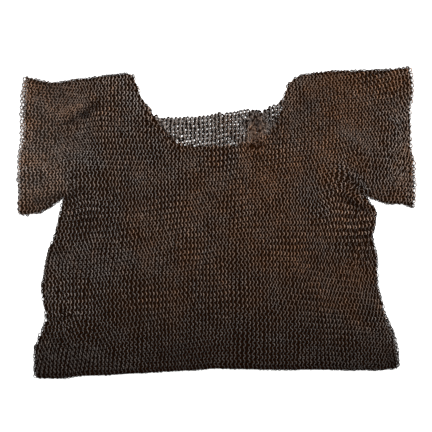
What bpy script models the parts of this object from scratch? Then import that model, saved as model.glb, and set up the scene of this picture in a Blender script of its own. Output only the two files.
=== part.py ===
"""Mail shirt laid flat, front panel up and neck towards +Y.

Four woven pieces: a front, a back and two short sleeves. Each is a wall as thick as the mail.
The back lies on the ground (Z = 0), the front lies on the back, and each sleeve is a
flattened tube, open at its armhole and its cuff.
"""
import math

import bmesh
import bpy
import numpy as np

MM = 0.001

# Driving dimensions, in millimetres
MAIL_THICKNESS = 4.6      # the rings lean in their rows, so the mail is thicker than its wire
PIECE_GAP = 0.3           # between neighbouring pieces, and between the two layers
FOLD_STEPS = 3            # facets round a quarter of a fold
NECK_ROWS = 6             # rows of facets between the chest and the top edge
SLEEVE_FACETS = 9         # facets across a sleeve, on each layer

LAYER_PITCH = MAIL_THICKNESS + PIECE_GAP
STACK_HEIGHT = 2 * MAIL_THICKNESS + PIECE_GAP

# Body, one row for each level above the hem: height, left edge and right edge.
# Below the armpits the edges are folds, and above them they are the armhole seams.
BODY_LEVELS = (
    # height, left, right
    (-294, -382, 384),
    (-268, -384, 383),
    (-244, -374, 378),
    (-222, -366, 369),
    (-200, -357, 358),
    (-172, -364, 350),
    (-136, -367, 340),
    (-98, -361, 339),
    (-62, -354, 335),
    (-28, -340, 329),
    (0, -334, 334),
    (22, -327, 336),
    (38, -325.5, 330),
    (50, -323, 315.5),
    (60, -321.6, 314.5),
    (100, -317, 309.9),
    (145, -311.9, 304.8),
)

# Hem, from the left corner to the right one: share of the width, height
HEM = (
    # share, height
    (0.00, -325),
    (0.05, -326),
    (0.20, -323),
    (0.34, -316),
    (0.50, -309),
    (0.62, -311),
    (0.96, -312),
    (1.00, -304),
)

# Top edge, one row for each column of facets: where it is across the shoulders,
# the height of the front's edge, the height of the back's edge, and 1 where it is a fold.
TOP_EDGE = (
    # across, front, back, fold
    (-294, 301, 301, 1),
    (-254, 304.5, 304.5, 1),
    (-214, 310, 310, 1),
    (-184, 314, 314, 1),
    (-173, 312, 312, 0),
    (-167, 292, 292, 0),
    (-160, 267, 267, 0),
    (-146, 246, 246, 0),
    (-130, 227, 228, 0),
    (-108, 195, 222, 0),
    (-92, 176, 221.5, 0),
    (-76, 165, 221.5, 0),
    (-42, 162, 222.5, 0),
    (-4, 162, 227, 0),
    (40, 163, 232, 0),
    (71, 168, 236.5, 0),
    (97, 179, 238, 0),
    (115, 195, 243, 0),
    (128, 217, 252, 0),
    (137, 243, 260, 0),
    (143, 270, 271, 0),
    (150, 292, 292, 0),
    (163, 303, 303, 0),
    (184, 311.5, 311.5, 1),
    (214, 315, 315, 1),
    (250, 318, 318, 1),
    (286, 319, 319, 1),
)

# Sleeves, one row for each section from the armhole to the cuff:
# the top end of the section, its lower end, and how far it bows out between them.
LEFT_SLEEVE = (
    # top x, top y, under x, under y, bow
    (-294, 301, -323, 50, 0),
    (-318, 296, -333, 41, 0),
    (-342, 294, -352, 27, 1),
    (-363, 297, -372, 20, 2),
    (-384, 302, -394, 16.5, 3),
    (-403, 303, -418, 18, 4),
)
RIGHT_SLEEVE = (
    # top x, top y, under x, under y, bow
    (286, 319, 315, 56, 0),
    (309, 320, 331, 47, 0),
    (333, 320.5, 350, 40.5, 0),
    (358, 321, 371, 37, 0),
    (384, 324, 394, 36, 0),
    (410, 327, 417, 31, -2),
)

# Armhole seams, from the top of the shoulder to the armpit: the sleeves' first sections
SEAMS = {0: LEFT_SLEEVE[0][:4], -1: RIGHT_SLEEVE[0][:4]}

# Creases in the upper layer: the two ends of each, its half width, and how far it lifts
# the mail off the layer below. A trough between two rolls has a negative lift.
CREASES = (
    # x1, y1, x2, y2, half width, lift
    (-332, 212, -262, 256, 20, 7.0),
    (-298, 176, -232, 222, 20, 6.0),
    (-308, 200, -248, 240, 8, -6.5),
    (-310, 92, -268, 112, 11, 5.0),
    (-316, 62, -262, 52, 10, 7.0),
    (-300, 24, -258, 6, 10, 5.0),
    (-330, -40, -290, -66, 12, 3.5),
    (-340, -196, -296, -178, 14, 4.0),
    (-344, -232, -290, -250, 14, 3.5),
    (262, 118, 304, 84, 11, 6.0),
    (258, 62, 304, 40, 10, 7.0),
    (276, 14, 318, 10, 10, 5.5),
    (284, -48, 320, -60, 10, 4.0),
    (300, -150, 318, -230, 14, 4.0),
    (332, 82, 392, 70, 14, 3.5),
    (-396, 110, -346, 96, 14, 3.0),
)

# Colour, roughness and metallic value of each piece: old iron, browner where it has rusted
FINISHES = {
    "front": ((0.060, 0.038, 0.028), 0.62, 0.70),
    "back": ((0.050, 0.040, 0.034), 0.60, 0.75),
    "sleeve_left": ((0.082, 0.055, 0.043), 0.60, 0.70),
    "sleeve_right": ((0.078, 0.048, 0.034), 0.62, 0.65),
}


def clear_scene():
    for old in list(bpy.data.objects):
        bpy.data.objects.remove(old, do_unlink=True)


def finish(name):
    """The Principled material of one piece."""
    colour, roughness, metallic = FINISHES[name]
    material = bpy.data.materials.new(name)
    material.use_nodes = True
    shader = material.node_tree.nodes["Principled BSDF"]
    shader.inputs["Base Color"].default_value = (*colour, 1.0)
    shader.inputs["Roughness"].default_value = roughness
    shader.inputs["Metallic"].default_value = metallic
    return material


def hem_height(share):
    """The height of the hem at a share of the shirt's width."""
    return np.interp(share, [row[0] for row in HEM], [row[1] for row in HEM])


def crease_lift(x, y):
    """How far the upper layer is raised off the lower one at a place on the shirt."""
    total = 0.0
    for x1, y1, x2, y2, half_width, lift in CREASES:
        run = np.array((x2 - x1, y2 - y1), float)
        along = np.clip(np.dot((x - x1, y - y1), run) / np.dot(run, run), 0, 1)
        away = math.hypot(x - x1 - along * run[0], y - y1 - along * run[1])
        total += lift * math.exp(-((away / half_width) ** 2))
    return max(total, 0.0)


def fold_profile():
    """Inset and height, as shares of the thickness, up the rounded edge of a folded layer."""
    angles = [math.pi / 2 * k / FOLD_STEPS for k in range(FOLD_STEPS + 1)]
    return [(1 - math.cos(a), math.sin(a)) for a in angles]


def body_plan(edge_column):
    """Places across and up a body panel, with the way in from its edge where it is folded.

    edge_column picks the front's or the back's neckline out of TOP_EDGE.
    """
    across = len(TOP_EDGE)
    seam_to_seam = TOP_EDGE[-1][0] - TOP_EDGE[0][0]
    levels = len(BODY_LEVELS) + 1 + NECK_ROWS
    plan = np.zeros((levels, across, 2))
    inward = np.zeros((levels, across, 2))
    chest = BODY_LEVELS[-1]
    for i, column in enumerate(TOP_EDGE):
        share = (column[0] - TOP_EDGE[0][0]) / seam_to_seam
        plan[0, i] = (
            BODY_LEVELS[0][1] + share * (BODY_LEVELS[0][2] - BODY_LEVELS[0][1]),
            hem_height(share),
        )
        for k, (height, left, right) in enumerate(BODY_LEVELS, start=1):
            plan[k, i] = (left + share * (right - left), height)
        for k in range(1, NECK_ROWS + 1):
            rise = k / NECK_ROWS
            start_x = chest[1] + share * (chest[2] - chest[1])
            plan[len(BODY_LEVELS) + k, i] = (
                start_x + rise * (column[0] - start_x),
                chest[0] + rise * (column[edge_column] - chest[0]),
            )
    for i, column in enumerate(TOP_EDGE):
        if column[3] and 0 < i < across - 1:
            inward[-1, i] = (0, -1)
    for side, (top_x, top_y, armpit_x, armpit_y) in SEAMS.items():
        for k in range(1, levels):
            height = plan[k, side, 1]
            if height >= armpit_y:  # straight, to lie along the sleeve's end
                rise = (height - armpit_y) / (top_y - armpit_y)
                plan[k, side, 0] = armpit_x + rise * (top_x - armpit_x)
            elif height < armpit_y - MAIL_THICKNESS:
                inward[k, side] = (1 if side == 0 else -1, 0)
    return plan, inward


def rim_of(levels, across):
    """The rim of a grid, once round and anticlockwise from the lower left corner."""
    rim = [(0, i) for i in range(across)]
    rim += [(k, across - 1) for k in range(1, levels)]
    rim += [(levels - 1, i) for i in range(across - 2, -1, -1)]
    rim += [(k, 0) for k in range(levels - 2, 0, -1)]
    return rim


def body_panel(name, edge_column, upper):
    """A front or back: a wall over the whole panel, rounded where it folds into its neighbour."""
    plan, inward = body_plan(edge_column)
    levels, across = plan.shape[:2]
    rim = rim_of(levels, across)
    on_rim = set(rim)
    profile = fold_profile()
    if not upper:
        profile = [(inset, 1 - height) for inset, height in reversed(profile)]
    mesh = bmesh.new()

    def point(k, i, inset, height):
        x, y = plan[k, i] + inward[k, i] * inset * MAIL_THICKNESS
        z = height * MAIL_THICKNESS
        if upper:
            folded = np.any(inward[k, i])
            z += LAYER_PITCH + (0.0 if folded else crease_lift(x, y))
        return mesh.verts.new((x * MM, y * MM, z * MM))

    rings = [{place: point(*place, inset, height) for place in rim} for inset, height in profile]

    def surface(ring, height, flip):
        grid = {
            (k, i): ring[(k, i)] if (k, i) in on_rim else point(k, i, 0, height)
            for k in range(levels)
            for i in range(across)
        }
        for k in range(levels - 1):
            for i in range(across - 1):
                corners = [grid[(k, i)], grid[(k, i + 1)], grid[(k + 1, i + 1)], grid[(k + 1, i)]]
                mesh.faces.new(corners[::-1] if flip else corners)

    surface(rings[0], 0.0, True)
    surface(rings[-1], 1.0, False)
    for low, high in zip(rings, rings[1:]):
        for here, after in zip(rim, rim[1:] + rim[:1]):
            mesh.faces.new((low[here], low[after], high[after], high[here]))
    return as_object(name, mesh)


def sleeve_section(row, shift, half_height, fold_length, trim):
    """One closed loop round a flattened tube, lower layer first, then back over the top.

    half_height is half the loop's height, fold_length how long its rounded ends are, and
    trim how far they stay inside the sleeve's own edges.
    """
    top = np.array(row[0:2], float) + (shift, 0)
    under = np.array(row[2:4], float) + (shift, 0)
    bow = row[4]
    length = np.linalg.norm(top - under)
    along = (top - under) / length
    middle = STACK_HEIGHT / 2
    start, end = trim + fold_length, length - trim - fold_length
    steps = [start + (end - start) * k / SLEEVE_FACETS for k in range(SLEEVE_FACETS + 1)]
    turns = [math.pi * k / (2 * FOLD_STEPS) for k in range(1, 2 * FOLD_STEPS)]

    def place(run, z, lifted):
        x, y = under + along * run
        x += math.copysign(1, row[0]) * bow * 4 * (run / length) * (1 - run / length)
        if lifted:  # the lift dies out towards the folds
            from_fold = min(run - start, end - run) / (2 * STACK_HEIGHT)
            z += min(1.0, from_fold) * crease_lift(x, y)
        return (x * MM, y * MM, z * MM)

    loop = [place(run, middle - half_height, False) for run in steps]
    loop += [
        place(end + fold_length * math.sin(a), middle - half_height * math.cos(a), False)
        for a in turns
    ]
    loop += [place(run, middle + half_height, True) for run in reversed(steps)]
    loop += [
        place(start - fold_length * math.sin(a), middle + half_height * math.cos(a), False)
        for a in turns
    ]
    return loop


def sleeve(name, sections, outwards):
    """A flattened tube through its sections. outwards is -1 for the left one and 1 for the right."""
    mesh = bmesh.new()
    skins = []
    for half_height, fold_length, trim in (
        (STACK_HEIGHT / 2, STACK_HEIGHT / 2, 0.0),
        (PIECE_GAP / 2, MAIL_THICKNESS / 2, MAIL_THICKNESS),
    ):
        skin = []
        for row in sections:
            loop = sleeve_section(row, outwards * PIECE_GAP, half_height, fold_length, trim)
            skin.append([mesh.verts.new(place) for place in loop])
        skins.append(skin)
    outer, inner = skins
    count = len(outer[0])

    def strip(one, two, flip):
        for k in range(count):
            after = (k + 1) % count
            corners = [one[k], one[after], two[after], two[k]]
            mesh.faces.new(corners[::-1] if flip else corners)

    mirrored = outwards < 0
    for one, two in zip(outer, outer[1:]):
        strip(one, two, mirrored)
    for one, two in zip(inner, inner[1:]):
        strip(one, two, not mirrored)
    strip(outer[0], inner[0], not mirrored)
    strip(outer[-1], inner[-1], mirrored)
    return as_object(name, mesh)


def as_object(name, mesh):
    data = bpy.data.meshes.new(name)
    mesh.to_mesh(data)
    mesh.free()
    data.materials.append(finish(name))
    data.shade_smooth()
    data.set_sharp_from_angle(angle=math.radians(50))
    piece = bpy.data.objects.new(name, data)
    bpy.context.collection.objects.link(piece)
    return piece


def build():
    clear_scene()
    shirt = bpy.data.objects.new("mail_shirt", None)
    bpy.context.collection.objects.link(shirt)
    pieces = (
        body_panel("front", 1, upper=True),
        body_panel("back", 2, upper=False),
        sleeve("sleeve_left", LEFT_SLEEVE, -1),
        sleeve("sleeve_right", RIGHT_SLEEVE, 1),
    )
    corners = np.array([corner for piece in pieces for corner in piece.bound_box])
    middle = (corners.min(axis=0) + corners.max(axis=0)) / 2
    shirt.location = (-middle[0], -middle[1], 0)  # the origin is under the shirt's middle
    for piece in pieces:
        piece.parent = shirt


build()
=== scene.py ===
import math

import bpy
import numpy as np
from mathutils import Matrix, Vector
from mathutils.geometry import delaunay_2d_cdt


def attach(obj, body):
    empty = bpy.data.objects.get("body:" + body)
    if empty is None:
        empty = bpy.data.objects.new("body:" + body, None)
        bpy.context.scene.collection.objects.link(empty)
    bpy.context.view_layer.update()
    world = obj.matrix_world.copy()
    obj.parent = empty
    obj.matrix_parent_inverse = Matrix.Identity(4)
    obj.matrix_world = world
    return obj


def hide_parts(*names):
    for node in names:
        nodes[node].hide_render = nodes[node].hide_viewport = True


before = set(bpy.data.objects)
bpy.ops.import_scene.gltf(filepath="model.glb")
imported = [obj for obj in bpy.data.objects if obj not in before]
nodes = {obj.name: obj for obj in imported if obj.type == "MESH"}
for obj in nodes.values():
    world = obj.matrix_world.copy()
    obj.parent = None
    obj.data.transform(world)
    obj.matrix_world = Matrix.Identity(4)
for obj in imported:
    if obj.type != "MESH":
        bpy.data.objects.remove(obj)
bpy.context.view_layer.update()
chance = np.random.default_rng(1430)  # every random draw below comes from here
print("frame loaded:", ", ".join(sorted(nodes)))

# Lengths below are in millimetres. The scene itself is in metres.
metre = 1000.0


# the mail's own sizes
ring = {
    "radius": 4.2,  # middle of the wire
    "wire": 0.95,  # radius of the wire
    "lean": 23.0,  # degrees that the rings of a row lean sideways
    "apart": 9.0,  # how much more one row leans than the next, where the mail is drawn askew
    "neckApart": 12.0,  # the same behind the neck
    "neckLean": 12.0,  # and how much more they lean there
    "follow": 0.85,  # how far a ring's width follows the distance to the next one
    "widths": (0.9, 1.15),  # and the least and most that it follows
    "rivet": 1.35,  # how much fatter the wire is at its rivet
    "neckWire": 2.32,  # how much fatter the wire is behind the neck, where one layer shows
    "cuffWire": 1.30,  # and in the last rings of the cuffs
    "backWire": 0.88,  # and in the back, where the front covers it
    "sides": 3,  # of the wire
    "segments": {"front": 8, "back": 6, "sleeves": 8},
}

layers = {
    "thickness": 4.6,  # of one layer of mail
    "gap": 0.3,  # between the two layers
    "rim": 1.1,  # how far inside the edge the middle of a fold runs
    "openEdge": 4.3,  # how near a ring's middle comes to an open edge
    "loose": 1.6,  # how far a ring may stray over that
    "upperFrom": -1.6,  # where the upper layer's rings begin, along the cloth from a fold's middle
    "lowerFrom": 1.8,  # and the lower layer's
    "pastFold": 3.0,  # a ring outside the outline is no further than this past a fold
    "pastOpen": 60.0,  # and no nearer than this to an open edge
    "ground": 0.05,  # nothing reaches lower than this
}
foldMiddle = layers["thickness"] + layers["gap"] / 2
foldRadius = (layers["thickness"] + layers["gap"]) / 2


# a soft step from 0 to 1
def easing(share):
    share = np.clip(share, 0, 1)
    return share * share * (3 - 2 * share)


# a CAD piece seen from above: its corners, and the edges between them
def shapeOf(node):
    mesh = nodes[node].data
    places = np.empty(len(mesh.vertices) * 3)
    mesh.vertices.foreach_get("co", places)
    ends = np.empty(len(mesh.edges) * 2, int)
    mesh.edges.foreach_get("vertices", ends)
    return places.reshape(-1, 3)[:, :2] * metre, ends.reshape(-1, 2)


shapes = {node: shapeOf(node) for node in nodes}


# lowest and highest place where a piece crosses each level of one axis
def crossings(node, axis, levels):
    places, ends = shapes[node]
    one, two = places[ends[:, 0]], places[ends[:, 1]]
    low, high = [], []
    for level in levels:
        hit = (one[:, axis] - level) * (two[:, axis] - level) <= 0
        hit &= one[:, axis] != two[:, axis]
        a, b = one[hit], two[hit]
        share = (level - a[:, axis]) / (b[:, axis] - a[:, axis])
        other = a[:, 1 - axis] + share * (b[:, 1 - axis] - a[:, 1 - axis])
        low.append(other.min())
        high.append(other.max())
    return np.array(low), np.array(high)


# the corner of a piece that lies furthest in a direction
def corner(node, across, up):
    places = shapes[node][0]
    return places[(places @ (across, up)).argmax()]


outlineStep = {"long": 12.0, "neck": 4.0, "inside": 0.4}  # and how far inside its ends a stretch begins
shoulders = {"left": -184.0, "right": 168.0}  # the neck opening lies between them


def stations(start, stop, step):
    count = max(2, round(abs(stop - start) / step) + 1)
    inside = math.copysign(outlineStep["inside"], stop - start)
    return np.linspace(start + inside, stop - inside, count)


# anticlockwise from the hem's left corner, with True where the edge is a fold
def outlineOf(body):
    left, right = "sleeve_left", "sleeve_right"
    points, folds = [], []

    # follows the low (0) or high (1) side of a piece from one corner to another
    def follow(node, axis, start, stop, side, fold, step="long"):
        levels = stations(start[axis], stop[axis], outlineStep[step])
        others = crossings(node, axis, levels)[side]
        points.append(np.column_stack((levels, others) if axis == 0 else (others, levels)))
        if step == "neck":
            fold = (levels > shoulders["right"]) | (levels < shoulders["left"])
        folds.append(np.broadcast_to(fold, len(levels)))

    hemLeft, hemRight = corner(body, -1, -1), corner(body, 1, -1)
    armpitLeft, armpitRight = corner(left, 1, -1), corner(right, -1, -1)
    lowLeft, topLeft = corner(left, -1, -1), corner(left, -1, 1)
    lowRight, topRight = corner(right, 1, -1), corner(right, 1, 1)
    seamTopLeft, seamTopRight = corner(left, 1, 1), corner(right, -1, 1)
    follow(body, 0, hemLeft, hemRight, 0, False)
    follow(body, 1, hemRight, armpitRight, 1, True)
    follow(right, 0, armpitRight, lowRight, 0, True)
    follow(right, 1, lowRight, topRight, 1, False)
    follow(right, 0, topRight, seamTopRight, 1, True)
    follow(body, 0, seamTopRight, seamTopLeft, 1, False, "neck")
    follow(left, 0, seamTopLeft, topLeft, 1, True)
    follow(left, 1, topLeft, lowLeft, 0, False)
    follow(left, 0, lowLeft, armpitLeft, 0, True)
    follow(body, 1, armpitLeft, hemLeft, 0, True)
    return np.concatenate(points), np.concatenate(folds)


# Tables of soft strokes hold x1, y1, x2, y2, the half width, and then what the stroke gives.

# how strongly a stroke covers each place
def covered(p, stroke):
    x1, y1, x2, y2, halfWidth = stroke[:5]
    run = np.array((x2 - x1, y2 - y1), float)
    along = np.clip((p - (x1, y1)) @ run / max(run @ run, 1e-9), 0, 1)
    away = np.linalg.norm(p - (x1, y1) - along[:, None] * run, axis=1)
    return np.exp(-((away / halfWidth) ** 2))


# what all the strokes of a table add up to at each place
def brushed(table, p, column=0):
    return sum(stroke[5 + column] * covered(p, stroke) for stroke in table)


# a column of a table, read between its rows by the height in its first column
def readAt(table, height, column=1):
    rows = np.array(table, float)
    return np.interp(height, rows[:, 0], rows[:, column])


# where the rings stand out past the outline, and how far
standOut = (
    # left cuff, the corner of its sleeve and a loop under it
    (-406, 292, -412, 226, 20, 4.0), (-414, 132, -416, 92, 14, 2.5),
    (-408, 14, -392, 16, 8, 3.0), (-371, 18, -368, 18, 5, 2.5),
    # right cuff, and under its sleeve
    (412, 298, 412, 264, 13, 6.0), (413, 128, 414, 55, 15, 5.5), (345, 30, 376, 20, 10, 1.5),
    # left shoulder, and the top edge of the back
    (-250, 302, -234, 303, 10, 2.0), (-182, 294, -142, 235, 12, 3.2),
    (-130, 224, -113, 222, 10, -3.0), (21, 228, 71, 236, 12, 3.0),
    # right side, and the ends of the hem
    (334, -62, 336, -86, 12, 2.5), (336, 20, 330, -20, 8, 2.0), (345, -118, 352, -170, 10, 2.0),
    (358, -210, 370, -280, 14, 1.5), (-372, -326, -318, -326, 12, 4.0), (350, -312, 374, -306, 8, 3.0),
)


def stoodOut(points, folds):
    runs = np.roll(points, -1, axis=0) - np.roll(points, 1, axis=0)
    outward = np.column_stack((runs[:, 1], -runs[:, 0])) / np.linalg.norm(runs, axis=1)[:, None]
    return points + outward * brushed(standOut, points)[:, None], folds


outlines = {body: stoodOut(*outlineOf(body)) for body in ("front", "back")}
print("outline points:", len(outlines["front"][0]), "front,", len(outlines["back"][0]), "back")


def insideOutline(points, p):
    after = np.roll(points, -1, axis=0)
    inside = np.zeros(len(p), bool)
    for a, b in zip(points, after):
        between = (a[1] > p[:, 1]) != (b[1] > p[:, 1])
        if a[1] != b[1]:
            x = a[0] + (p[:, 1] - a[1]) * (b[0] - a[0]) / (b[1] - a[1])
            inside ^= between & (p[:, 0] < x)
    return inside


onEdge = 0.3  # nearer than this, the way out is square to the edge


# how far each place lies inside the chosen edges, and the way out to them
def inset(points, chosen, p, inside):
    after = np.roll(points, -1, axis=0)
    nearest = np.full(len(p), 1e9)
    wayOut = np.zeros((len(p), 2))
    for a, b in zip(points[chosen], after[chosen]):
        run = b - a
        share = np.clip(((p - a) @ run) / (run @ run), 0, 1)
        gap = a + share[:, None] * run - p
        away = np.hypot(gap[:, 0], gap[:, 1])
        closer = away < nearest
        outward = np.array((run[1], -run[0])) / math.hypot(*run)
        sign = np.where(inside, 1.0, -1.0)[:, None]
        straight = gap * sign / np.maximum(away, 1e-6)[:, None]
        direction = np.where(away[:, None] > onEdge, straight, outward)
        wayOut[closer] = direction[closer]
        nearest[closer] = away[closer]
    return np.where(inside, nearest, -nearest), wayOut


# the weave: rows run across the shirt and columns run up it
weave = {
    "lowest": -310.0, "levelStep": 100.0,  # levels of the two tables below
    "farLeft": -400.0, "stationStep": 100.0,  # stations across of rowRise
    "firstColumn": -60, "columnStep": 15,  # columns of columnPlaces
    "from": -304.0, "to": 350.0,  # levels between which rows are laid
    "columns": 66,  # on each side of the middle
    "pastTable": 0.3,  # how far past its end a table is read
}

# how far a row lies above its level, from the left cuff to the right one
rowRise = np.array((
    (-22, -18, -13, -7, 0, -2, -4, -5, -2),  # at the hem
    (-48, -37, -24, -11, 0, -3, -7, -12, -18),
    (-28, -22, -15, -7, 0, 3, -2, -10, -6),
    (-42, -34, -26, -13, 0, 7, 12, 16, 20),
    (-24, -17, -13, -8, 0, 11, 22, 30, 22),
    (-12, -13, -6, -5, 0, 9, 16, 26, 38),
    (4, -7, -4, -2, 0, 2, 8, 22, 45),  # at the shoulders
), float)

# where every fifteenth column runs at each level
columnPlaces = np.array((
    (-500, -375, -249, -123, -12, 117, 240, 351, 463),
    (-471, -354, -238, -119, -5, 119, 233, 340, 447),
    (-466, -351, -235, -118, -3, 114, 217, 312, 412),
    (-447, -333, -219, -109, 0, 114, 217, 322, 424),
    (-438, -324, -212, -105, 8, 115, 222, 338, 434),
    (-424, -326, -227, -111, 10, 123, 233, 334, 425),
    (-430, -328, -226, -110, 10, 120, 226, 340, 446),
), float)

# distance between rows, by level
rowPitch = ((-310, 5.8), (-110, 5.9), (-10, 5.8), (90, 5.45), (290, 5.4))


# smooth surface through a table whose rows lie at even levels, going on straight past its ends
def smoothRead(table, level, across):
    up = (level - weave["lowest"]) / weave["levelStep"]
    wide = np.pad(table, 1, mode="reflect", reflect_type="odd")

    # the shares of the four values nearest to a place
    def weights(place, count):
        whole = np.clip(np.floor(place), 0, count - 2).astype(int)
        t = np.clip(place - whole, -weave["pastTable"], 1 + weave["pastTable"])
        return whole, (
            -t / 2 + t ** 2 - t ** 3 / 2,
            1 - 2.5 * t ** 2 + 1.5 * t ** 3,
            t / 2 + 2 * t ** 2 - 1.5 * t ** 3,
            (t ** 3 - t ** 2) / 2,
        )

    rowAt, rowShares = weights(up, table.shape[0])
    columnAt, columnShares = weights(across, table.shape[1])
    total = 0.0
    for i, rowShare in enumerate(rowShares):
        for k, columnShare in enumerate(columnShares):
            total = total + rowShare * columnShare * wide[rowAt + i, columnAt + k]
    return total


def riseAt(x, level):
    return smoothRead(rowRise, level, (x - weave["farLeft"]) / weave["stationStep"])


def columnAt(column, y):
    return smoothRead(columnPlaces, y, (column - weave["firstColumn"]) / weave["columnStep"])


# slow wander of the weave, as hand-made mail has, in waves whose size grows with their length
wander = {"waves": 9, "size": 0.8, "growth": 1, "shortest": 38.0, "longest": 120.0}

# how far the mail is drawn askew, so that every other row stands out; it changes in waves too
askew = {"usual": 0.75, "waves": 8, "size": 0.225, "growth": 0, "shortest": 110.0, "longest": 260.0}


def randomWaves(kind):
    waves = []
    for _ in range(kind["waves"]):
        length = chance.uniform(kind["shortest"], kind["longest"])
        angle = chance.uniform(0, 2 * math.pi)
        across, up = 2 * math.pi / length * math.cos(angle), 2 * math.pi / length * math.sin(angle)
        size = kind["size"] * (length / kind["longest"]) ** kind["growth"]
        waves.append((across, up, chance.uniform(0, 2 * math.pi), size))
    return waves


wanderAcross, wanderUp, askewWay = randomWaves(wander), randomWaves(wander), randomWaves(askew)


def wandered(waves, x, y):
    return sum(size * np.sin(kx * x + ky * y + phase) for kx, ky, phase, size in waves)


# where it hangs straighter, and by how much
leftSleeve = (-350, 262, -370, 80, 75)
straighter = ((*leftSleeve, 0.75), (-350, -20, -340, -280, 45, 0.7))


def askewAt(p):
    return (askew["usual"] + wandered(askewWay, p[:, 0], p[:, 1])) * (1 - brushed(straighter, p))


# where the mail is twisted: the middle and size of each place, degrees anticlockwise,
# and degrees that the columns lean over to the right besides
twists = (
    (286, 72, 27, -54, 0),  # right armpit
    (226, 40, 32, 18, 0),
    (282, 128, 24, 20, 0),
    (-290, 40, 30, 14, 0),  # and the left one
    (-318, 158, 66, 10, 20),  # left sleeve
    (-270, 222, 26, 10, 0),  # folds of the left shoulder
    (378, 228, 40, 10, 0),  # right sleeve
)


settling = 3  # rounds in which a place's height and distance across are fitted to each other


# where a place on the weave lies on the shirt, laid flat
def onShirt(column, level, spread, pull):
    x = columnAt(column, level)
    y = level
    for _ in range(settling):
        y = level + riseAt(x, level) + pull(x, level)
        x = columnAt(column * spread, y)
    x, y = x + wandered(wanderAcross, x, y), y + wandered(wanderUp, x, y)
    for middleX, middleY, size, degrees, lean in twists:
        east, north = x - middleX, y - middleY
        near = np.exp(-(east ** 2 + north ** 2) / size ** 2)
        turn = math.radians(degrees) * near
        x = middleX + east * np.cos(turn) - north * np.sin(turn) + math.radians(lean) * near * north
        y = middleY + east * np.sin(turn) + north * np.cos(turn)
    return np.column_stack((x, y))


def rowLevels(upper):
    levels = [weave["from"]]
    while levels[-1] < weave["to"]:
        closer = neck["closer"] if levels[-1] > neck["closerAbove"] and not upper else 1.0
        levels.append(levels[-1] + readAt(rowPitch, levels[-1]) * closer)
    return np.array(levels)


# the open edges: rows run along the hem and the back's top edge, and end at the cuffs
edges = {
    "closer": 0.2,  # how much further inside the edge the first row is wished
    "hemBelow": -200.0,  # the hem lies below this
    "hemReach": 50.0,  # how far up the hem bends the rows
    "neckSolid": 75.0,  # how far down the back's top edge moves the rows as one
    "neckReach": 60.0,  # and how far below that it bends them
    "neckMiddle": 5.0, "neckHalf": 150.0, "neckFade": 50.0, "neckFlat": 90.0,  # where across
    "notch": -38.0, "notchStep": 2.2,  # a link is gone there, and the edge steps up
    "cuffReach": 60.0,  # how far in a row is stretched to meet its cuff
    "cuffSlack": 20.0,  # and how much further in its rings are looked for
    "cuffEnds": 14.0,  # and above and below the cuff
    "cuffFrom": 300.0,  # no cuff is nearer the middle than this
    "cuffRings": {"within": 16.0, "fade": 6.0, "from": 380.0},  # the last rings of the cuffs
}


# how far a row lies under the height wished for it
def missing(x, xs, wished, level):
    return np.interp(x, xs, wished) - level - riseAt(x, np.full_like(x, level))


def hemPull(body):
    points, folds = outlines[body]
    hem = points[~folds & (points[:, 1] < edges["hemBelow"])]
    xs, wished = hem[:, 0], hem[:, 1] + layers["openEdge"] + edges["closer"]

    def pull(x, level):
        first = weave["from"]
        return missing(x, xs, wished, first) * easing(1 - (level - first) / edges["hemReach"])
    return pull


def neckPull(body, levels):
    points, folds = outlines[body]
    edge = points[~folds & (points[:, 1] > 0) & (np.abs(points[:, 0]) < edges["cuffFrom"])][::-1]
    xs, wished = edge[:, 0], edge[:, 1] - layers["openEdge"] - edges["closer"]
    wished = wished + edges["notchStep"] * (xs > edges["notch"])
    flatPart = np.abs(xs) < edges["neckFlat"]
    natural = (wished - riseAt(xs, wished))[flatPart].mean()
    top = levels[np.abs(levels - natural).argmin()]

    def pull(x, level):
        window = easing((edges["neckHalf"] - np.abs(x - edges["neckMiddle"])) / edges["neckFade"])
        below = np.maximum(np.abs(level - top) - edges["neckSolid"], 0)
        return missing(x, xs, wished, top) * window * easing(1 - below / edges["neckReach"])
    return pull, top


outwards = {"left": -1, "right": 1}


def cuffLine(side):
    points, folds = outlines["front"]
    way = outwards[side]
    line = points[~folds & (way * points[:, 0] > edges["cuffFrom"]) & (points[:, 1] > 0)]
    line = line[line[:, 1].argsort()]
    return line[:, 1], line[:, 0]


cuffLines = {side: cuffLine(side) for side in outwards}

# how much shorter the lower layer is at each cuff, by height
cuffShort = {
    "left": ((20, 2.0), (60, 3.0), (160, 5.0), (190, 8.0), (285, 8.0), (300, 4.0)),
    "right": ((20, 3.0), (60, 5.0), (140, 4.0), (190, 2.5), (300, 5.0), (330, 4.0)),
}


# stretches each row so that its last ring meets the cuff, and tells which rings are left over
def reachCuffs(flat, row, pitch, upper):
    leftOver = np.zeros(len(flat), bool)
    for side, (ys, xs) in cuffLines.items():
        way = outwards[side]
        fromCuff = way * (np.interp(flat[:, 1], ys, xs) - flat[:, 0])
        room = layers["openEdge"] + 0.5 * pitch * (row % 2)
        if not upper:
            room = room + readAt(cuffShort[side], flat[:, 1])
        near = fromCuff < edges["cuffReach"] + edges["cuffSlack"]
        near &= way * flat[:, 0] > edges["cuffFrom"]
        near &= (flat[:, 1] > ys[0] - edges["cuffEnds"]) & (flat[:, 1] < ys[-1] + edges["cuffEnds"])
        for r in np.unique(row[near]):
            these = np.flatnonzero(near & (row == r))
            spare = fromCuff[these] - room[these]
            fits = spare >= 0
            leftOver[these[~fits]] = True
            if fits.any():
                last = spare[fits].min()
                share = easing(1 - (spare[fits] - last) / edges["cuffReach"])
                flat[these[fits], 0] += way * last * share
    return leftOver


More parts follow.
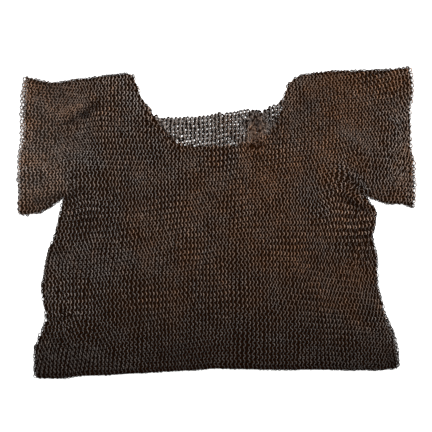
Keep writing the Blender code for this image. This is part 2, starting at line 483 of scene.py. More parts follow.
# creases: soft ridges and troughs, and their lift
creases = (
    # left shoulder, armpit and side
    (-332, 212, -262, 256, 20, 7.0), (-298, 176, -232, 222, 20, 6.0), (-308, 200, -248, 240, 8, -6.5),
    (-310, 92, -268, 112, 11, 5.0), (-316, 62, -262, 52, 10, 7.0), (-300, 24, -258, 6, 10, 5.0),
    (-330, -40, -290, -66, 12, 3.5), (-340, -196, -296, -178, 14, 4.0), (-344, -232, -290, -250, 14, 3.5),
    # right armpit and side
    (262, 118, 304, 84, 11, 6.0), (258, 62, 304, 40, 10, 7.0), (276, 14, 318, 10, 10, 5.5),
    (284, -48, 320, -60, 10, 4.0), (300, -150, 318, -230, 14, 4.0),
    # sleeves
    (332, 82, 392, 70, 14, 3.5), (-396, 110, -346, 96, 14, 3.0),
)
creaseFade = 12.0  # a crease dies out this near a fold or an edge


def creaseLift(x, y):
    return np.maximum(brushed(creases, np.column_stack((x, y))), 0.0)


def unit(v):
    return v / np.maximum(np.linalg.norm(v, axis=-1, keepdims=True), 1e-9)


# two square directions, turned together by an angle in their own plane
def turned(one, other, angle):
    cos, sin = np.cos(angle)[:, None], np.sin(angle)[:, None]
    return one * cos + other * sin, other * cos - one * sin


# one layer of rings, as centres, row directions, facings and pitches
def layRings(body, upper):
    levels = rowLevels(upper)
    row, column = np.indices((len(levels), 2 * weave["columns"] + 1)).reshape(2, -1)
    place = column - weave["columns"] + 0.5 * (row % 2)
    level = levels[row]
    pulls = [hemPull(body)]
    spare = np.zeros(len(row), bool)
    stretch = 1
    if not upper:
        place += 0.5
        stretch = 1 + neck["wider"] * easing((level - neck["widerAbove"]) / neck["widerOver"])
        toNeck, lastLevel = neckPull(body, levels)
        pulls.append(toNeck)
        spare = level > lastLevel

    def pull(x, level):
        return sum(one(x, level) for one in pulls)

    flat = onShirt(place, level, stretch, pull)
    step = onShirt(place + 0.5, level, stretch, pull) - onShirt(place - 0.5, level, stretch, pull)
    pitch = np.linalg.norm(step, axis=1)
    spare &= np.abs(flat[:, 0] - edges["neckMiddle"]) < edges["neckHalf"] - edges["neckFade"] / 2
    leftOver = spare | reachCuffs(flat, row, pitch, upper)

    points, folds = outlines[body]
    inside = insideOutline(points, flat)
    fromFold, wayOut = inset(points, folds, flat, inside)
    fromOpen, _ = inset(points, ~folds, flat, inside)
    quarter = foldRadius * math.pi / 2
    # along the cloth from the fold's middle
    aroundFold = fromFold - layers["rim"] + quarter - foldRadius
    openRoom = layers["openEdge"] - layers["loose"]
    kept = aroundFold > layers["upperFrom" if upper else "lowerFrom"]
    kept &= ((fromOpen > openRoom) | ~inside) & ~leftOver
    kept &= inside | ((fromOpen < -layers["pastOpen"]) & (fromFold > -layers["pastFold"]))

    flat, step, wayOut, fromFold, fromOpen, aroundFold, row, pitch = (
        values[kept] for values in (flat, step, wayOut, fromFold, fromOpen, aroundFold, row, pitch))
    turn = np.clip(aroundFold / foldRadius, -math.pi / 2, math.pi / 2)
    onFold = aroundFold < quarter
    side = 1.0 if upper else -1.0
    moved = np.where(onFold, fromFold - layers["rim"] - foldRadius * (1 - np.cos(turn)), 0.0)
    height = foldMiddle + side * foldRadius * np.sin(turn)
    centre = np.column_stack((flat + wayOut * moved[:, None], height))

    none = np.zeros(len(flat))
    out3, step3 = np.column_stack((wayOut, none)), np.column_stack((step, none))
    up3 = np.array((0.0, 0.0, side))
    folded = onFold[:, None]
    round3, inward3 = turned(out3, up3, turn)
    facing, inward = np.where(folded, round3, up3), np.where(folded, inward3, -out3)
    towards = -(step3 * out3).sum(axis=1, keepdims=True)
    along = step3 + towards * out3
    rowWay = unit(along + towards * inward)

    if upper:
        fade = easing(np.minimum(fromFold, fromOpen) / creaseFade)
        x, y = centre[:, 0], centre[:, 1]
        centre[:, 2] += fade * creaseLift(x, y)
        slopeX = fade * (creaseLift(x + 1, y) - creaseLift(x - 1, y)) / 2
        slopeY = fade * (creaseLift(x, y + 1) - creaseLift(x, y - 1)) / 2
        facing = unit(facing - np.where(folded, 0, np.column_stack((slopeX, slopeY, none))))
    rowWay = unit(rowWay - facing * (rowWay * facing).sum(axis=1, keepdims=True))
    last = edges["cuffRings"]
    laid = {
        "centre": centre, "rowWay": rowWay, "facing": facing, "pitch": pitch,
        "upper": np.full(len(row), upper),
        "row": row, "flat": flat, "fromOpen": fromOpen, "fromFold": fromFold,
        "behindNeck": none if upper else behindNeck(flat),
        "closed": none if upper else closedAt(flat),
        "atCuff": easing((last["within"] - fromOpen) / last["fade"]) * (np.abs(flat[:, 0]) > last["from"]),
    }
    return laid if upper else doubled(laid)


doubling = {"from": 0.45, "along": 0.5, "up": 0.275, "lift": 1.2}


# where the mail is bunched up, a second ring lies beside each one, a little higher
def doubled(laid):
    twice = laid["closed"] > doubling["from"]
    joined = {key: np.concatenate((values, values[twice])) for key, values in laid.items()}
    beside = slice(len(twice), None)
    upWay = np.cross(laid["facing"], laid["rowWay"])
    aside = laid["pitch"][:, None] * (doubling["along"] * laid["rowWay"] + doubling["up"] * upWay)
    joined["centre"][beside] += aside[twice] + (0, 0, doubling["lift"])
    return joined


# the neck opening, and how much wider and closer the back is woven behind it
neck = {
    "from": -176.0, "to": 166.0, "step": 6.0, "before": 6.0, "fade": 8.0,
    "wider": 0.06, "widerAbove": 90.0, "widerOver": 80.0,
    "closer": 0.97, "closerAbove": 120.0, "shows": 0.01,
}


# 1 where the back shows through the neck opening, 0 where the front covers it
def behindNeck(p):
    xs = np.arange(neck["from"], neck["to"], neck["step"])
    past = p[:, 1] - np.interp(p[:, 0], xs, crossings("front", 0, xs)[1])
    across = (p[:, 0] > xs[0]) & (p[:, 0] < xs[-1])
    return np.where(across, easing((past + neck["before"]) / neck["fade"]), 0.0)


# where the mail behind the neck is bunched up, and how little light it lets through
bunched = (
    (-142, 226, -100, 190, 13, 0.4), (84, 214, 82, 160, 20, 1.0), (110, 160, 50, 155, 16, 0.7),
    (30, 215, 52, 175, 18, 0.4), (104, 188, 138, 214, 13, 0.8),
)


def closedAt(p):
    shares = [stroke[5] * covered(p, stroke) for stroke in bunched]
    return np.max(shares, axis=0) * behindNeck(p)


upperRings, lowerRings = layRings("front", True), layRings("back", False)
print("rings:", len(upperRings["row"]), "in the upper layer and", len(lowerRings["row"]), "in the lower")


# how unevenly the rings lie
looseness = {"shift": 0.45, "lean": 4.5, "twist": 7.0, "size": 0.04, "most": 2.0}

# where the wire is stouter, and by what share
stouter = (
    (395, 250, 398, 60, 30, 0.10), (100, 190, 142, 216, 14, 0.30), (-142, 226, -84, 176, 18, 0.25),
)

# where the rings are rubbed bare further down their sides, so that the painted shade of their low sides
# reaches less far, and how far
rubbedAndUnshaded = ((*leftSleeve, 0.30),)

# where the wire is hammered flatter, and the share of its height that is lost
hammered = ((*leftSleeve, 0.10), (395, 260, 398, 60, 40, 0.20))

# where they lie flatter, and by how many degrees
flatter = ((*leftSleeve, 15.0),)

# where the rings lie less evenly, and how much less
unruly = (
    (*leftSleeve, 0.5), (-330, -170, -300, -240, 40, 0.8), (300, 90, 300, -80, 35, 0.8),
    (294, 110, 320, 50, 16, 0.8), (84, 214, 82, 160, 18, 4.0), (110, 195, 138, 214, 13, 2.0),
    (-142, 226, -84, 176, 18, 2.0), (390, 270, 395, 60, 30, 0.8),
)


# closed wire rings in one mesh, each with its own cell of the map
def ringMesh(name, rings, segments):
    count, sides = len(rings["row"]), ring["sides"]
    flat, facing, rowWay, behind = (rings[key] for key in ("flat", "facing", "rowWay", "behindNeck"))
    sway = chance.normal(size=(count, 5)).clip(-looseness["most"], looseness["most"])
    sway *= (1 + brushed(unruly, flat))[:, None]
    upWay = np.cross(facing, rowWay)
    centre = rings["centre"] + looseness["shift"] * (sway[:, :1] * rowWay + sway[:, 1:2] * upWay)
    leanWay = np.where(rings["row"] % 2 == 0, 1.0, -1.0)
    airy = behind * (1 - rings["closed"])
    apart = ring["apart"] * askewAt(flat) * (1 - behind) - ring["neckApart"] * airy
    lean = ring["lean"] + ring["neckLean"] * airy + looseness["lean"] * sway[:, 2] - brushed(flatter, flat)
    lean = np.radians(leanWay * lean + apart)
    twist = np.radians(looseness["twist"] * sway[:, 3])
    turnedRow, turnedUp = turned(rowWay, upWay, twist)
    acrossWay, normal = turned(turnedRow, facing, lean)
    radius = ring["radius"] * (1 + looseness["size"] * sway[:, 4])
    wide = rings["pitch"] / (2 * ring["radius"] * math.cos(math.radians(ring["lean"])))
    wide = 1 + ring["follow"] * (wide.clip(*ring["widths"]) - 1) * (1 - behind)
    start = chance.uniform(0, 2 * math.pi, count)

    # the wire's corners, segment by segment
    angle = start[:, None] + 2 * math.pi * np.arange(segments) / segments
    spoke = acrossWay[:, None] * np.cos(angle)[..., None] + turnedUp[:, None] * np.sin(angle)[..., None]
    stretched = spoke + acrossWay[:, None] * ((wide - 1)[:, None] * np.cos(angle))[..., None]
    fatter = 1 + (ring["neckWire"] - 1) * behind + (ring["cuffWire"] - 1) * rings["atCuff"]
    fatter += brushed(stouter, flat)
    fatter *= np.where(rings["upper"] | (behind > neck["shows"]), 1.0, ring["backWire"])
    wire = ring["wire"] * fatter[:, None] * np.ones(segments)
    wire[:, 0] *= ring["rivet"]
    thin = (1 - brushed(hammered, flat))[:, None, None]
    places = np.empty((count, segments, sides, 3))
    for m in range(sides):
        beta = math.pi / 2 + 2 * math.pi * m / sides
        offset = spoke * math.cos(beta) + normal[:, None] * math.sin(beta) * thin
        places[:, :, m] = centre[:, None] + stretched * radius[:, None, None] + offset * wire[..., None]
    places[..., 2] = np.maximum(places[..., 2], layers["ground"])

    # and the quads between them
    k, m = np.indices((segments, sides)).reshape(2, -1)
    nextK, nextM = (k + 1) % segments, (m + 1) % sides
    quad = np.column_stack((k * sides + m, nextK * sides + m, nextK * sides + nextM, k * sides + nextM))
    corners = quad[None] + (np.arange(count) * segments * sides)[:, None, None]
    piece = meshFrom(name, places, corners, mapCells(count, segments, sides, k, m))
    proudWay = leanWay * np.where(behind > 0.5, -1.0, 1.0)  # there the inner face shows
    # the proud side of each ring is bare worn iron; its low side is oxide painted darker as shade
    high = 0.5 + 0.5 * proudWay[:, None] * np.cos(angle)  # 1 on the side that stands proud
    high += brushed(rubbedAndUnshaded, flat)[:, None]
    paint(piece, "wearAndShade", np.repeat(high, sides, axis=1).ravel(), 1)
    return piece


# each ring's quads side by side in a small square of the map
def mapCells(count, segments, sides, k, m):
    grid = math.ceil(math.sqrt(count))
    cell = np.column_stack((np.arange(count) % grid, np.arange(count) // grid)).astype(float)
    margin = 0.05
    corners2d = np.array(((0, 0), (1, 0), (1, 1), (0, 1)), float)
    local = np.stack((
        (k[:, None] + corners2d[:, 0]) / segments,
        (m[:, None] + corners2d[:, 1]) / sides,
    ), axis=-1)
    return (cell[:, None, None] + margin + (1 - 2 * margin) * local) / grid


def meshFrom(name, places, corners, mapPlaces):
    mesh = bpy.data.meshes.new(name)
    faces = corners.reshape(-1, 4)
    mesh.vertices.add(places.size // 3)
    mesh.vertices.foreach_set("co", (places / metre).astype(np.float32).ravel())
    mesh.loops.add(faces.size)
    mesh.loops.foreach_set("vertex_index", faces.astype(np.int32).ravel())
    mesh.polygons.add(len(faces))
    mesh.polygons.foreach_set("loop_start", np.arange(0, faces.size, 4, dtype=np.int32))
    mesh.update(calc_edges=True)
    layer = mesh.uv_layers.new(name="OFBake")
    layer.uv.foreach_set("vector", mapPlaces.astype(np.float32).ravel())
    mesh.shade_smooth()
    return placed(name, mesh)


def placed(name, data):
    thing = bpy.data.objects.new(name, data)
    bpy.context.collection.objects.link(thing)
    return thing


def paint(piece, name, values, perRing):
    layer = piece.data.attributes.new(name, "FLOAT", "POINT")
    layer.data.foreach_set("value", np.repeat(values, perRing).astype(np.float32))


# a shader socket that can stand in sums
class Wire:
    def __init__(self, finish, socket):
        self.finish = finish
        self.socket = socket

    def __add__(self, other):
        return self.finish.maths("ADD", self, other)

    def __sub__(self, other):
        return self.finish.maths("SUBTRACT", self, other)

    def __mul__(self, other):
        return self.finish.maths("MULTIPLY", self, other)

    def __rsub__(self, other):
        return self.finish.maths("SUBTRACT", other, self)

    __radd__, __rmul__ = __add__, __mul__


class Finish:
    def __init__(self, name):
        self.material = bpy.data.materials.new(name)
        self.material.use_nodes = True
        self.tree = self.material.node_tree
        self.surface = self.tree.nodes["Principled BSDF"]

    def plug(self, socket, value):
        if isinstance(value, Wire):
            self.tree.links.new(value.socket, socket)
        else:
            socket.default_value = value

    # a node with its settings, then its inputs by name or number
    def node(self, kind, settings=None, inputs=None, output=0):
        made = self.tree.nodes.new(kind)
        for setting, value in (settings or {}).items():
            setattr(made, setting, value)
        for socket, value in (inputs or {}).items():
            self.plug(made.inputs[socket], value)
        return Wire(self, made.outputs[output])

    def maths(self, operation, one, two):
        return self.node("ShaderNodeMath", {"operation": operation}, {0: one, 1: two})

    def mix(self, share, one, two):
        settings = {"data_type": "RGBA", "clamp_factor": True}
        return self.node("ShaderNodeMix", settings, {0: share, 6: one, 7: two}, output=2)

    def noise(self, scale, detail):
        place = self.node("ShaderNodeTexCoord", output=3)  # the object's own coordinates
        return self.node("ShaderNodeTexNoise", None, {"Vector": place, "Scale": scale, "Detail": detail})

    def painted(self, name):
        return self.node("ShaderNodeAttribute", {"attribute_name": name}, output=2)

    def limits(self, value, low, high):
        inputs = {"Value": value, "From Min": low, "From Max": high}
        return self.node("ShaderNodeMapRange", {"clamp": True}, inputs)

    def feed(self, **sockets):
        for name, value in sockets.items():
            self.plug(self.surface.inputs[name.replace("_", " ")], value)


ironFinish = {
    "crest": (0.228, 0.194, 0.175, 1),  # where the rings rub, bare iron
    "crestRust": (0.303, 0.172, 0.101, 1),
    "hollow": (0.038, 0.027, 0.0205, 1),  # on their low sides: oxide, painted darker still as shade
    "hollowRust": (0.065, 0.023, 0.0065, 1),
    "orange": (0.270, 0.110, 0.046, 1),  # fresh rust in spots
    "orangeShare": 0.45,
    "dark": (0.008, 0.004, 0.0025, 1),
    "cloud": (14.0, 3.0), "patch": (38.0, 2.0), "speck": (260.0, 2.0), "pits": (1400.0, 3.0),  # noises
    "clouded": 1.0, "patched": 0.9, "specked": 0.3,  # how much they change the rust
    "rubbedAndUnshaded": (0.65, 0.92), "rusted": (0.1, 0.95), "spots": (1.05, 1.3),  # where each begins and is full
    "rough": 0.38, "roughRust": 0.25, "roughPits": 0.15,
    "coat": 0.5, "coatRust": 0.35,  # how much less metallic the rubbed iron is, and rusty iron
    "bump": 0.35, "pitDepth": 0.0003,
    "specular": 0.5,
}


def ironMail(name, look):
    iron = Finish(name)
    shade, rust = iron.painted("shade"), iron.painted("rust")
    wearAndShade = iron.limits(iron.painted("wearAndShade"), *look["rubbedAndUnshaded"])
    cloud, patch, speck, pits = (iron.noise(*look[key]) for key in ("cloud", "patch", "speck", "pits"))
    uneven = (cloud - 0.5) * look["clouded"] + (patch - 0.5) * look["patched"]
    uneven = uneven + (speck - 0.5) * look["specked"]
    rusted = iron.limits(rust + uneven, *look["rusted"])
    spots = iron.limits(speck + cloud * 0.5 + rust * 0.5, *look["spots"])
    hollow = iron.mix(rusted, look["hollow"], look["hollowRust"])
    crest = iron.mix(rusted, look["crest"], look["crestRust"])
    colour = iron.mix(spots * look["orangeShare"], iron.mix(wearAndShade, hollow, crest), look["orange"])
    bump = {"Strength": look["bump"], "Distance": look["pitDepth"], "Height": pits}
    # the painted shade darkens the colour towards dark
    iron.feed(
        Base_Color=iron.mix(iron.limits(shade, 1.0, 0.0), colour, look["dark"]),
        Roughness=look["rough"] + rusted * look["roughRust"] + pits * look["roughPits"],
        Metallic=1.0 - wearAndShade * (look["coat"] + rusted * look["coatRust"]),
        Normal=iron.node("ShaderNodeBump", None, bump),
    )
    iron.surface.inputs["Specular IOR Level"].default_value = look["specular"]
    return iron.material


mailIron = ironMail("mail iron", ironFinish)


# the chosen ones of a layer's rings
def part(rings, chosen):
    return {key: values[chosen] for key, values in rings.items()}


# bands of the front and the back, by the height of their upper edge
bands = {
    "front": {"skirt": -160.0, "waist": 10.0, "shoulders": math.inf},
    "back": {"skirt": -190.0, "waist": -65.0, "shoulders": math.inf},
}
seamReach = 40.0  # a sleeve's rings lie no further than this below its armpit
seams = {}
for side, way in outwards.items():
    seams[side] = [corner(f"sleeve_{side}", -way, up) for up in (-1, 1)]


# which rings belong to a sleeve
def beyondSeam(side, rings):
    p = rings["flat"]
    low, high = seams[side]
    seamX = low[0] + (p[:, 1] - low[1]) * (high[0] - low[0]) / (high[1] - low[1])
    above = p[:, 1] > low[1] - seamReach
    past = outwards[side] * (p[:, 0] - seamX) > 0
    return above & past & ((np.abs(p[:, 0]) > abs(low[0])) | (p[:, 1] > low[1]))


brightness = 0.73  # of all the mail

# how bright and how rusty the mail is, by height; the brightness is painted shade, darker towards the hem
byHeight = (
    # height, brightness, rust
    (-325, 0.16, 0.00), (-302, 0.24, 0.05), (-260, 0.33, 0.12), (-200, 0.42, 0.30), (-150, 0.54, 0.42),
    (-100, 0.60, 0.50), (-50, 0.64, 0.54), (0, 0.67, 0.56), (50, 0.70, 0.56), (330, 0.72, 0.54),
)

# patches on it, and what each adds to the brightness and to the rust; the brightness is painted light and
# shade, darker in the troughs of the folds and lighter on their ridges
patches = (
    # left sleeve, and the troughs and ridges of its shoulder and armpit
    (-375, 240, -365, 70, 60, 0.02, 0), (-375, 290, -330, 282, 22, -0.12, 0),
    (-350, 276, -305, 258, 24, -0.2, -0.05), (-400, 110, -325, 92, 36, 0.22, -0.05),
    (-400, 190, -400, 60, 20, 0.15, 0), (-385, 285, -345, 270, 26, 0, 0.15),
    (-392, 264, -396, 168, 7, 0.22, 0.2), (-313, 207, -273, 227, 5, -0.6, 0),
    (-315, 218, -291, 231, 4, -0.4, 0), (-273, 227, -252, 244, 10, -0.5, 0),
    (-310, 214, -288, 226, 4, 0.3, 0), (-302, 236, -286, 242, 6, 0.3, 0.1),
    (-317, 48, -275, 68, 7, -0.4, 0), (-290, 30, -262, 8, 9, -0.22, -0.2),
    (-306, 20, -304, 18, 10, 0.1, 0.35), (-380, 40, -323, 54, 7, -0.35, 0),
    (-402, 30, -398, 28, 8, 0, 0.4), (-277, 26, -279, 18, 18, 0.24, 0),
    (-312, 250, -306, 240, 20, -0.12, -0.1), (-346, 136, -346, 128, 22, -0.12, 0),
    (-309, 176, -309, 164, 18, -0.11, 0), (-384, 215, -384, 198, 14, 0.16, 0.16),
    (-380, 292, -374, 288, 13, 0.16, 0.24), (-315, 18, -315, 8, 12, 0.16, 0),
    # left side, greyer, with small folds above the hem
    (-265, 140, -275, -190, 65, 0, -0.35), (-360, -125, -310, -190, 36, 0.34, 0),
    (-300, 0, -330, -40, 26, 0, -0.2), (-280, -120, -320, -180, 24, 0.08, 0),
    (-324, -186, -290, -200, 10, -0.1, 0.1), (-318, -214, -292, -222, 8, 0.1, 0),
    (-345, -70, -345, -100, 24, -0.06, -0.4), (-275, -204, -268, -214, 24, 0.16, 0),
    (-353, -145, -353, -158, 12, -0.22, 0), (-328, -70, -328, -82, 12, -0.16, 0),
    # neck and what shows behind it
    (84, 214, 82, 160, 15, -0.36, 0.7), (75, 226, 125, 196, 22, -0.2, 0),
    (25, 215, 52, 175, 20, -0.1, 0.35), (124, 228, 128, 220, 18, -0.24, 0),
    (18, 174, 34, 174, 15, -0.24, 0), (-140, 232, -122, 224, 15, 0.12, 0),
    (-98, 226, -70, 215, 20, 0.15, 0), (140, 212, 150, 204, 18, -0.12, -0.05),
    (66, 172, 72, 162, 14, 0, -0.22), (88, 204, 88, 178, 13, -0.15, 0.35),
    # right shoulder and sleeve, with the trough at its armpit
    (265, 40, 300, -5, 26, 0.2, 0), (250, 115, 254, -10, 18, 0.18, 0), (385, 240, 395, 60, 18, 0.11, 0),
    (195, 258, 245, 252, 30, -0.12, 0), (250, 300, 385, 290, 28, 0, 0.25),
    (385, 210, 365, 110, 26, 0.2, -0.25), (385, 300, 395, 60, 30, 0.1, 0),
    (185, 240, 262, 110, 40, 0, 0.36), (240, 230, 300, 255, 26, 0, 0.3),
    (320, 258, 322, 200, 24, 0.03, -0.1), (225, 110, 228, 25, 20, 0.09, 0),
    (225, 30, 235, 5, 22, 0.05, 0), (365, 318, 408, 320, 10, 0.25, 0.1),
    (197, 248, 199, 246, 16, -0.12, -0.4), (271, 50, 318, 21, 6, -0.65, 0),
    (285, 60, 316, 38, 5, 0.18, 0), (292, 94, 313, 65, 12, -0.12, -0.55),
    (180, 75, 238, 22, 26, 0, -0.35), (182, 212, 220, 205, 26, -0.1, -0.32),
    (258, 135, 258, 90, 22, 0, -0.34), (290, 206, 300, 208, 24, 0, 0.36),
    (183, 130, 180, 90, 22, -0.04, 0.26), (258, 22, 262, 12, 20, 0.1, 0.28),
    (372, 252, 374, 240, 16, -0.14, 0.1), (258, 98, 258, 88, 18, 0.12, 0),
    (250, 214, 264, 200, 20, -0.12, 0), (215, 284, 262, 284, 18, -0.11, 0),
    (372, 292, 376, 280, 16, 0.06, 0.2), (378, 232, 378, 222, 12, -0.18, 0),
    (290, 90, 316, 62, 12, 0.2, 0.2), (326, 16, 330, 10, 10, 0.22, 0), (391, 92, 391, 84, 12, -0.18, 0),
    (196, 278, 210, 276, 16, 0, 0.3),
    # right side
    (345, -170, 378, -262, 12, 0.35, 0), (230, -170, 285, -178, 26, 0, 0.42),
    (276, -172, 282, -182, 18, 0.08, 0.1), (255, -70, 310, -130, 35, 0, 0.3),
    (288, -24, 318, -38, 10, -0.2, 0), (205, -50, 262, -57, 28, -0.03, -0.34),
    (292, -202, 300, -212, 24, 0.08, 0.3), (255, -12, 260, -60, 22, 0.15, 0),
    # chest and belly, rusty to the right
    (-240, 302, -195, 303, 9, 0.25, 0), (-205, 294, -180, 262, 24, 0.4, -0.35),
    (-150, -100, -50, -105, 32, -0.08, 0), (70, 140, 165, -60, 60, 0, 0.24),
    (-176, 227, -176, 126, 30, 0, -0.25), (-130, 176, -120, 174, 22, 0, -0.25),
    (-120, 135, -115, 60, 34, 0, -0.32), (-82, 135, -80, 60, 20, 0, -0.18),
    (32, 132, 32, 94, 22, 0, -0.32), (107, 0, 105, -25, 26, 0, -0.32), (-215, 8, -225, -25, 36, 0, -0.26),
    (-158, 140, -156, 126, 22, 0, -0.12), (107, 96, 109, 90, 24, 0, 0.26),
    (-60, -62, -44, -95, 34, 0, 0.26), (-122, -170, -80, -172, 34, 0.02, 0.3),
    (-195, 172, -194, 166, 22, 0.12, 0), (-172, 264, -158, 240, 20, 0.16, -0.1),
    (-10, -50, 0, -62, 26, -0.11, -0.08), (-84, 104, -82, 88, 20, 0.03, 0.2),
    (-166, -72, -162, -80, 13, -0.18, 0), (10, -34, 18, -42, 18, 0, -0.28),
    # hem
    (-75, -280, 10, -283, 18, 0, -0.2), (25, -250, 75, -270, 28, 0, -0.18),
    (-126, -277, -20, -275, 20, -0.07, 0), (126, -278, 128, -276, 20, 0.06, 0),
    (336, -236, 352, -268, 30, 0, 0.26), (366, -266, 372, -300, 16, -0.22, 0.15),
)

# folds and the hem are darkest at the rim
rimShade = {
    "from": 0.5, "to": 9.0, "least": 0.30,
    "hemFrom": 3.0, "hemTo": 13.0, "hemLeast": 0.15, "hemBelow": -240.0,
}
neckTone = {"brighter": 0.27, "lessRust": 0.65}


def rimmed(depth, start, stop, least):
    return least + (1 - least) * easing((depth - start) / (stop - start))


def shadeAt(rings):
    p, rim = rings["flat"], rimShade
    dim = rimmed(rings["fromFold"], rim["from"], rim["to"], rim["least"])
    hem = rimmed(rings["fromOpen"], rim["hemFrom"], rim["hemTo"], rim["hemLeast"])
    nearHem = np.where(p[:, 1] < rim["hemBelow"], hem, 1.0)
    thin = neckTone["brighter"] * rings["behindNeck"] * (1 - rings["closed"])
    return brightness * (readAt(byHeight, p[:, 1]) + brushed(patches, p) + thin) * dim * nearHem


def rustAt(rings):
    rust = readAt(byHeight, rings["flat"][:, 1], 2) + brushed(patches, rings["flat"], 1)
    return rust - neckTone["lessRust"] * rings["behindNeck"]


# rows differ: every other one is painted darker where the mail is askew, as shade on rings that lean away
# from the light, and streaks run along them
rowShadeAndTone = {
    "apart": 0.34,
    "streak": 0.06, "streakStep": 70.0, "streakFrom": -455.0, "streakSizes": (2, 160, 14), "most": 2.0,
    "ringLeast": 0.62, "ringMost": 1.23,  # rings differ in brightness
    "ringRust": 0.07,  # and in rust
}
streakTable = chance.normal(size=rowShadeAndTone["streakSizes"])  # by layer, row and station
streakTable = streakTable.clip(-rowShadeAndTone["most"], rowShadeAndTone["most"])


def streakAt(rings):
    p = rings["flat"]
    along = (p[:, 0] - rowShadeAndTone["streakFrom"]) / rowShadeAndTone["streakStep"]
    whole = along.astype(int)
    layer = rings["upper"].astype(int)
    before, after = (streakTable[layer, rings["row"], station] for station in (whole, whole + 1))
    return before + (after - before) * easing(along - whole)


def colourRings(piece, rings, perRing):
    count = len(rings["row"])
    everyOtherLit = np.where(rings["row"] % 2 == 0, 1.0, -1.0) * askewAt(rings["flat"])
    shadeAndTone = 1 + rowShadeAndTone["apart"] * everyOtherLit + rowShadeAndTone["streak"] * streakAt(rings)
    shadeAndTone = shadeAndTone * chance.uniform(rowShadeAndTone["ringLeast"], rowShadeAndTone["ringMost"], count)
    paint(piece, "shade", shadeAt(rings) * shadeAndTone, perRing)
    paint(piece, "rust", rustAt(rings) + chance.normal(0, rowShadeAndTone["ringRust"], count), perRing)


# one piece of mail: its rings, coloured and hung on the root in place of its hidden CAD piece; its flat
# size and area, a cell of the weave for each ring, are worked out but not used
def makeMail(name, rings, kind, node):
    segments = ring["segments"][kind]
    piece = ringMesh(name, rings, segments)
    colourRings(piece, rings, segments * ring["sides"])
    piece.data.materials.append(mailIron)
    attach(piece, "root")
    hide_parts(node)
    p = rings["flat"]
    width, length = (float(size) for size in (p.max(axis=0) - p.min(axis=0) + ring["radius"] * 2) / metre)
    flat = (2 * length, width) if kind == "sleeves" else (width, length)  # a sleeve's is all round it
    area = float((rings["pitch"] * readAt(rowPitch, p[:, 1])).sum()) / metre ** 2
    print(name, len(rings["row"]), "rings")


for body, rings in (("back", lowerRings), ("front", upperRings)):
    heights = rings["flat"][:, 1]
    inSleeves = beyondSeam("left", rings) | beyondSeam("right", rings)
    under = -math.inf
    for band, top in bands[body].items():
        chosen = (heights > under) & (heights <= top) & ~inSleeves
        makeMail(f"{body}_{band}", part(rings, chosen), body, body)
        under = top

for side in outwards:
    both = [part(rings, beyondSeam(side, rings)) for rings in (upperRings, lowerRings)]
    joined = {key: np.concatenate([rings[key] for rings in both]) for key in both[0]}
    makeMail(f"sleeve_{side}_rings", joined, "sleeves", f"sleeve_{side}")


# painted shade inside the shirt: a thin dark sheet between the two layers
shadeSheet = {
    "thickness": 0.4,
    "fromEdge": 0.8,  # how far inside the open edges it ends, and inside the folds
    "fromFold": ((-205, 3.8, 6.0), (-185, 2.2, 2.2), (300, 2.2, 2.2)),  # height, left, right
    "atNeck": 3.0,  # and behind the neck
    "fromCuff": ((20, 5, 3), (60, 6, 7), (140, 8, 6), (190, 13, 3), (285, 13, 7), (300, 8, 7)),
    "step": 11.0,  # of the points inside it
    "spacing": 0.45,  # share of a step that those keep from its rim
    "parallel": 0.2,  # stretches that turn less than this are taken as one
    "colours": ((0.003, 0.001, 0.0003, 1), (0.009, 0.003, 0.0008, 1), (0.010, 0.0065, 0.0045, 1)),
    "litThrough": (-350, 262, -370, 80, 62),  # stroke over which it takes the last of its colours, painted light that gets through the rings
    "grain": (320.0, 2.0), "rough": 0.8, "roughGrain": 0.2,
}


# the outline moved inwards, each stretch by its own distance
def shrunkOutline():
    points, folds = outlines["front"]
    after = np.roll(points, -1, axis=0)
    runs = after - points
    middles = (points + after) / 2
    inward = np.column_stack((-runs[:, 1], runs[:, 0])) / np.linalg.norm(runs, axis=1)[:, None]
    x, y = middles.T

    def atSides(table):
        return np.where(x < 0, readAt(shadeSheet[table], y), readAt(shadeSheet[table], y, 2))

    openDepth = np.where(y > 0, shadeSheet["atNeck"], shadeSheet["fromEdge"])
    openDepth = np.where((np.abs(x) > edges["cuffFrom"]) & (y > 0), atSides("fromCuff"), openDepth)
    depth = np.where(folds, atSides("fromFold"), openDepth)
    moved = np.empty_like(points)
    for k in range(len(points)):
        normals = inward[[k - 1, k]]
        depths = depth[[k - 1, k]]
        if abs(np.linalg.det(normals)) > shadeSheet["parallel"]:
            moved[k] = points[k] + np.linalg.solve(normals, depths)
        else:
            moved[k] = points[k] + normals.mean(axis=0) * depths.mean()
    return moved


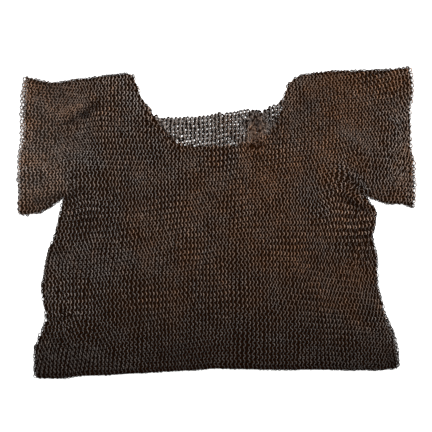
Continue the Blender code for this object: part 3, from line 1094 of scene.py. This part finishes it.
def thinSheet():
    rim = shrunkOutline()
    step = shadeSheet["step"]
    xs = np.arange(rim[:, 0].min(), rim[:, 0].max(), step)
    ys = np.arange(rim[:, 1].min(), rim[:, 1].max(), step)
    lattice = np.stack(np.meshgrid(xs, ys), -1).reshape(-1, 2)
    allEdges = slice(None)
    deep, _ = inset(rim, allEdges, lattice, insideOutline(rim, lattice))
    seeds = np.concatenate((rim, lattice[deep > step * shadeSheet["spacing"]]))
    loop = [(k, (k + 1) % len(rim)) for k in range(len(rim))]
    flat, _, faces, *_ = delaunay_2d_cdt([Vector(p) for p in seeds], loop, [], 1, 1e-5)
    flat = np.array([tuple(p) for p in flat])
    faces = np.array(faces)

    away, _ = inset(outlines["front"][0], allEdges, flat, np.ones(len(flat), bool))
    middle = foldMiddle + easing(away / creaseFade) * creaseLift(flat[:, 0], flat[:, 1])
    half = shadeSheet["thickness"] / 2
    top, bottom = (np.column_stack((flat, middle + lift)) for lift in (half, -half))
    used = {(a, b): True for face in faces for a, b in zip(face, np.roll(face, -1))}
    walls = [(a, a + len(flat), b + len(flat), b) for a, b in used if (b, a) not in used]
    shell = faces.tolist() + (faces[:, ::-1] + len(flat)).tolist() + walls
    mesh = bpy.data.meshes.new("painted_shade_sheet")
    mesh.from_pydata((np.concatenate((top, bottom)) / metre).tolist(), [], shell)
    mesh.shade_smooth()
    piece = placed("painted_shade_sheet", mesh)
    paint(piece, "litThrough", np.tile(covered(flat, shadeSheet["litThrough"]), 2), 1)
    ends = np.roll(rim, -1, axis=0)
    return piece, float((rim[:, 0] * ends[:, 1] - rim[:, 1] * ends[:, 0]).sum()) / 2 / metre ** 2


shadeSheetPiece, shadeSheetArea = thinSheet()
# near black, as painted shade
shadeSheetFinish = Finish("painted shade sheet")
grain = shadeSheetFinish.noise(*shadeSheet["grain"])
darkest, dark, litThrough = shadeSheet["colours"]
shadeSheetFinish.feed(
    Base_Color=shadeSheetFinish.mix(shadeSheetFinish.painted("litThrough"), shadeSheetFinish.mix(grain, darkest, dark), litThrough),
    Roughness=shadeSheet["rough"] + grain * shadeSheet["roughGrain"],
)
shadeSheetFinish.surface.inputs["Specular IOR Level"].default_value = 0.0
shadeSheetPiece.data.materials.append(shadeSheetFinish.material)
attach(shadeSheetPiece, "root")
bpy.context.view_layer.update()
print("painted shade sheet:", len(shadeSheetPiece.data.polygons), "faces")


# floor and light
stage = {
    "floorSize": 12.0, "floorDepth": 0.0005, "floorRough": 0.9, "floorGrain": (3.0, 2.0),
    "floorColours": ((0.93, 0.93, 0.93, 1), (0.95, 0.95, 0.95, 1)),
    "skyColour": (1, 1, 1, 1), "sky": 0.25,
}

floorFinish = Finish("pale floor")
floorGrain = floorFinish.noise(*stage["floorGrain"])
floorFinish.feed(
    Base_Color=floorFinish.mix(floorGrain, *stage["floorColours"]), Roughness=stage["floorRough"],
)
bpy.ops.mesh.primitive_plane_add(size=stage["floorSize"], location=(0, 0, -stage["floorDepth"]))
floor = bpy.context.object
floor.name = "floor"
floor.data.materials.append(floorFinish.material)

world = bpy.data.worlds.new("studio")
world.use_nodes = True
sky = world.node_tree.nodes["Background"].inputs
sky["Color"].default_value = stage["skyColour"]
sky["Strength"].default_value = stage["sky"]
bpy.context.scene.world = world

lamps = {
    # place, what it points at, size, power
    "key": ((0.0, 1.0, 2.7), (0.0, 0.0, 0.0), 1.5, 150.0),
    "fill": ((0.0, -1.4, 2.4), (0.0, -0.1, 0.0), 1.6, 40.0),
}
for name, (place, aim, size, power) in lamps.items():
    lamp = bpy.data.lights.new(name, "AREA")
    lamp.shape = "DISK"
    lamp.size = size
    lamp.energy = power
    holder = placed(name, lamp)
    holder.location = place
    holder.rotation_euler = (Vector(aim) - Vector(place)).to_track_quat("-Z", "Y").to_euler()

# the camera looks straight down, and sees frameWidth across at the level of the mail
shot = {"frameWidth": 0.9072, "lens": 100.0, "sensor": 36.0, "across": 0.0005, "up": 0.0119, "level": 0.009}
camera = bpy.data.cameras.new("camera")
camera.lens = shot["lens"]
camera.sensor_width = shot["sensor"]
cameraHolder = placed("camera", camera)
distance = shot["frameWidth"] * shot["lens"] / shot["sensor"]
cameraHolder.location = (shot["across"], shot["up"], shot["level"] + distance)
bpy.context.scene.camera = cameraHolder
bpy.context.scene.view_settings.view_transform = "Standard"
